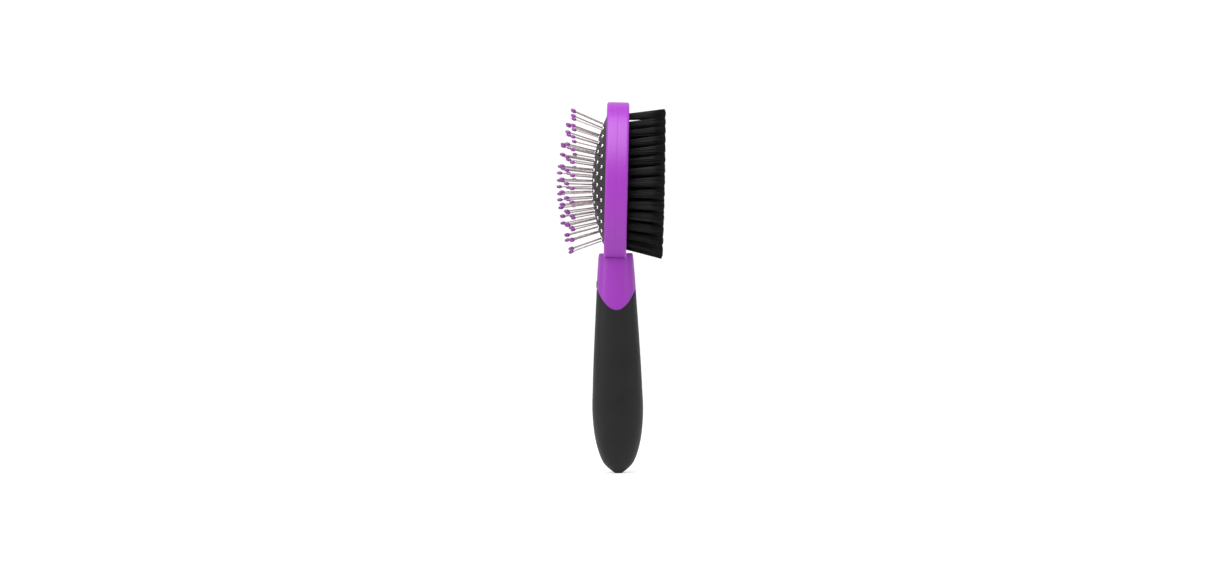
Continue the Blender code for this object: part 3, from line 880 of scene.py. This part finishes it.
def filament_path(spot, reach, angle, dice):
    """One filament from its root to its trimmed end, leaning with its tuft's place in the fan."""
    v, w = spot
    tilt, slope, bend = FAN_UP
    lean_v, lean_w = v / FAN_ACROSS, tilt + slope * w + bend * w * w
    turn_v, turn_w = math.cos(angle), math.sin(angle)
    stray_v, stray_w = dice.gauss(0.0, STRAY), dice.gauss(0.0, STRAY)
    end = TUFT_END + TRIM_PROUD - TRIM_CROWN * reach ** 2.2 - abs(dice.gauss(0.0, STRAY))
    path = []
    for u, wide in TUFT_SHAPE:
        u = min(u, end)
        sway = ((u - PLATE_FACE) / (TUFT_END - PLATE_FACE)) ** 2
        path.append((
            u,
            v + lean_v * (u - PLATE_FACE) + reach * wide * turn_v + stray_v * sway,
            w + lean_w * (u - PLATE_FACE) + reach * wide * turn_w + stray_w * sway,
        ))
    return path


def make_tufts(look):
    dice = random.Random(SEED + 1)
    corners = [(math.cos(turn(i, 3)), math.sin(turn(i, 3))) for i in range(3)]
    for name, _, spots in arcs(TUFT_RINGS):
        shell = Shell()
        for spot in spots:
            for reach, angle in filament_offsets(dice):
                path = filament_path(spot, reach, angle, dice)
                rings = []
                for (u, v, w), scale in zip(path, FILAMENT_TAPER):
                    radius = FILAMENT_RADIUS * scale
                    rings.append([(u, v + radius * a, w + radius * b) for a, b in corners])
                shell.skin(rings)
        piece = shell.make(f"bristle_tufts_{name}", HEAD, sharp=180.0)
        finish_piece(piece, look, "brush", "bristle_nylon", f"tuft_{name}")


# ---- studio ----------------------------------------------------------------------------------

SWEEP_GLOW = 0.34
WORLD_GLOW = 0.60
MIDDLE = (0.0, 0.0, 0.13)
HEAD_MIDDLE = (0.0, 0.0, 0.18)
# Name, place, aim, size and power.
LIGHTS = (
    ("top_box", (-0.04, -0.18, 0.43), (0.0, 0.0, 0.21), (0.32, 0.32), 1.65),
    ("left_strip", (-0.55, -0.14, 0.24), HEAD_MIDDLE, (0.05, 0.34), 0.6),
    ("right_strip", (0.60, -0.20, 0.24), HEAD_MIDDLE, (0.05, 0.34), 0.3),
    ("key_box", (-0.8, -1.0, 0.75), MIDDLE, (0.9, 0.9), 2.0),
    ("fill_box", (1.0, -0.9, 0.45), MIDDLE, (0.9, 0.9), 0.8),
)


def studio_look():
    look = Look("studio_sweep", Roughness=0.9, Emission_Color=(1.0, 1.0, 1.0, 1.0))
    look.shader.inputs["Emission Strength"].default_value = SWEEP_GLOW
    cloud = look.noise(3.0, 2.0)
    look.feed("Base Color", look.mix(cloud, (0.88, 0.88, 0.88), (0.90, 0.90, 0.90)))
    return look.material


def make_sweep(look):
    """Pale floor that rises behind the object in one curve."""
    radius, back, tall, wide = 0.9, 1.6, 3.2, 4.0
    profile = [(-3.0, 0.0)]
    for k in range(17):
        angle = math.pi / 2.0 * k / 16.0
        y = back - radius + radius * math.sin(angle)
        profile.append((y, radius - radius * math.cos(angle)))
    profile.append((back, tall))
    points = [(x, y, z) for y, z in profile for x in (-wide, wide)]
    faces = [(2 * k, 2 * k + 1, 2 * k + 3, 2 * k + 2) for k in range(len(profile) - 1)]
    mesh = bpy.data.meshes.new("studio_sweep")
    mesh.from_pydata(points, [], faces)
    mesh.shade_smooth()
    sweep = bpy.data.objects.new("studio_sweep", mesh)
    bpy.context.scene.collection.objects.link(sweep)
    sweep.data.materials.append(look)


def softbox(name, place, aim, size, power):
    light = bpy.data.lights.new(name, "AREA")
    light.shape = "RECTANGLE"
    light.size, light.size_y = size
    light.energy = power
    item = bpy.data.objects.new(name, light)
    item.location = place
    item.rotation_euler = (Vector(aim) - Vector(place)).to_track_quat("-Z", "Y").to_euler()
    bpy.context.scene.collection.objects.link(item)


def make_lights():
    for light in LIGHTS:
        softbox(*light)
    world = bpy.data.worlds.new("studio")
    world.use_nodes = True
    backdrop = world.node_tree.nodes["Background"]
    backdrop.inputs["Color"].default_value = (1.0, 1.0, 1.0, 1.0)
    backdrop.inputs["Strength"].default_value = WORLD_GLOW
    bpy.context.scene.world = world


CAMERA_DISTANCE = 1.5
CAMERA_AZIMUTH = math.radians(0.0)
CAMERA_ROLL = math.radians(0.72)
CAMERA_AIM = Vector((-0.0010, 0.0, 0.1191))
VIEW_WIDTH = 0.7626


def make_camera():
    lens = bpy.data.cameras.new("camera")
    lens.sensor_width = 36.0
    lens.lens = lens.sensor_width * CAMERA_DISTANCE / VIEW_WIDTH
    lens.clip_start = 0.01
    camera = bpy.data.objects.new("camera", lens)
    away = Vector((math.sin(CAMERA_AZIMUTH), -math.cos(CAMERA_AZIMUTH), 0.0))
    camera.location = CAMERA_AIM + away * CAMERA_DISTANCE
    look = (-away).to_track_quat("-Z", "Y").to_matrix().to_4x4()
    camera.rotation_euler = (look @ Matrix.Rotation(-CAMERA_ROLL, 4, "Z")).to_euler()
    bpy.context.scene.collection.objects.link(camera)
    bpy.context.scene.camera = camera


# ---- assembly --------------------------------------------------------------------------------


def dress_base_plate(look):
    """The hidden plate keeps its own mesh."""
    base = frame["nodes"]["cushion_base_plate"]
    base.data.materials.clear()
    base.data.materials.append(look)


def main():
    purple = plastic_look("frame_plastic")
    make_grip(grip_look())
    make_collar(plastic_look("handle_plastic", seam=True))
    make_badge(badge_look())
    make_frame_half("head_frame_pin_half", -1.0, purple, "head_frame_front")
    make_frame_half("head_frame_bristle_half", 1.0, purple, "head_frame_rear")
    make_membrane(membrane_look())
    make_pins(shaded_steel_look(), glint_seat_look(), tip_look())
    make_bristle_plate(plastic_look("bristle_board"))
    make_tufts(nylon_look())
    dress_base_plate(hidden_look())
    make_sweep(studio_look())
    make_lights()
    make_camera()


main()
bpy.context.scene.view_settings.view_transform = "Standard"
